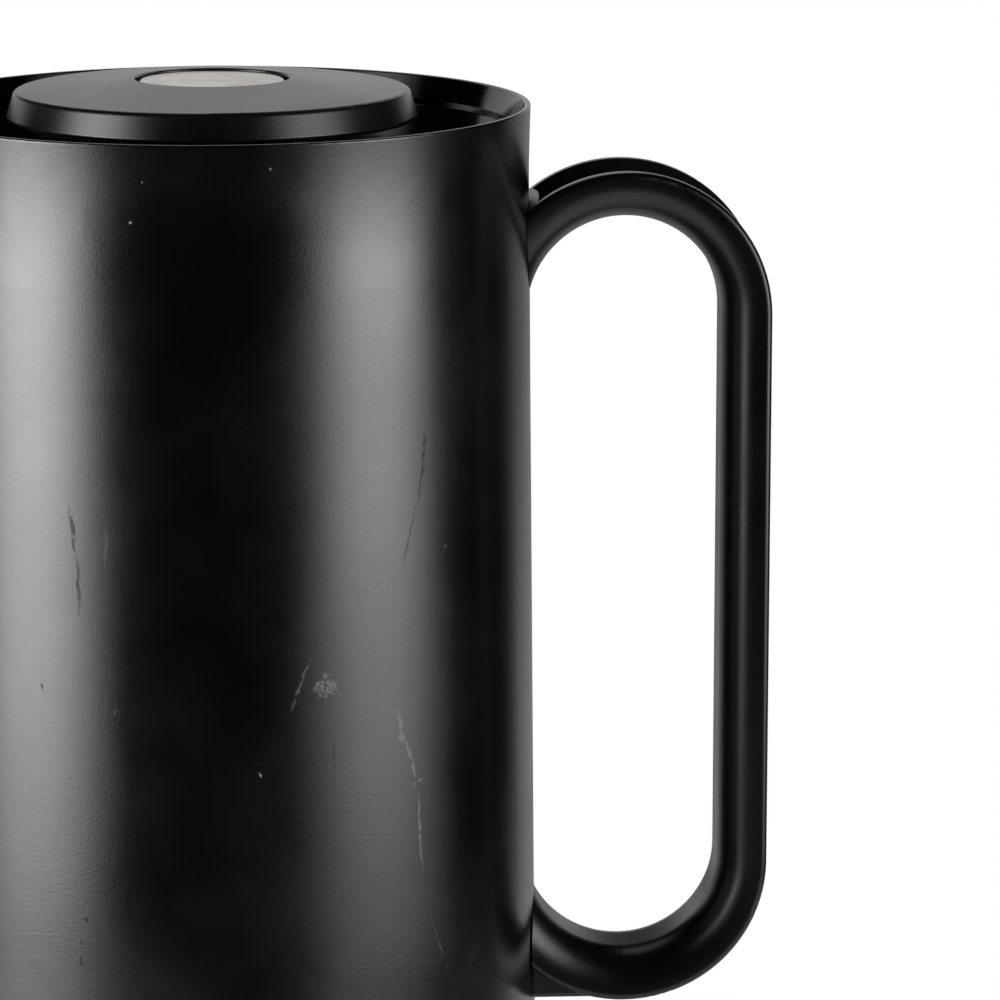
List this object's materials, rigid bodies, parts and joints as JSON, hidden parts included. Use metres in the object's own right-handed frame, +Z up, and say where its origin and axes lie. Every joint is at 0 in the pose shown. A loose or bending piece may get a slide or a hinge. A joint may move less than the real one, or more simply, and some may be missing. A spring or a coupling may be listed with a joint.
{
  "type": "vacuum carafe",
  "caption": "Tall round vacuum carafe with a loop handle, a glass flask inside and a lift-out stopper whose push-button valve lets the coffee pour.",
  "frame": {"origin": "centre of the rubber pad's flat underside, on the table under the axis of the body", "axes": "+Z up along the axis of the body, +X towards the handle, -X towards the pouring lip"},
  "size_m": [0.1558, 0.1108, 0.3044],
  "materials": {
    "shell_black": "satin black moulded plastic with a fine grain",
    "handle_black": "semi-gloss black moulded plastic",
    "lid_black": "satin black moulded plastic",
    "inner_black": "plain black moulded plastic",
    "plastic_grey": "plain grey moulded plastic",
    "button_steel": "pale satin stainless steel",
    "screw_steel": "plain stainless steel",
    "silvered_glass": "glass, silvered on the sides that face the vacuum",
    "spacer_fibre": "pressed mineral fibre pads",
    "silicone_pale": "matt pale silicone rubber",
    "rubber_dark": "matt dark rubber"
  },
  "bodies": {
    "carafe": {"outer_shell": "shell_black", "rim_funnel": "inner_black", "pour_collar": "inner_black", "neck_gasket": "silicone_pale", "flask_outer_wall": "silvered_glass", "flask_inner_bottom": "silvered_glass", "flask_inner_wall": "silvered_glass", "flask_inner_neck": "silvered_glass", "flask_spacers": "spacer_fibre", "flask_cushion": "rubber_dark", "base_cap": "inner_black", "base_screws": "screw_steel", "base_pad": "rubber_dark", "handle": "handle_black", "handle_backing_plate": "screw_steel", "handle_screws": "screw_steel"},
    "stopper": {"lid_disc": "lid_black", "stopper_body": "inner_black", "spring_housing": "inner_black", "stem_bushing": "plastic_grey", "stopper_seal": "silicone_pale", "ring_seal": "rubber_dark", "lid_screws": "screw_steel", "stem_guide": "plastic_grey", "stem_wiper": "silicone_pale", "return_spring": "screw_steel"},
    "button": {"button_cap": "button_steel", "button_plunger": "plastic_grey", "valve_stem": "screw_steel", "valve_plate": "plastic_grey", "valve_seal": "silicone_pale", "stem_nuts": "screw_steel"}
  },
  "joints": [
    {"name": "stopper_lift", "type": "slide", "parent": "carafe", "child": "stopper", "axis": [0, 0, 1], "range_m": [0, 0.08]},
    {"name": "button_press", "type": "slide", "parent": "stopper", "child": "button", "axis": [0, 0, -1], "range_m": [0, 0.005], "stiffness_N_per_m": 400, "springref_m": -0.006, "deforming": ["return_spring"]}
  ]
}
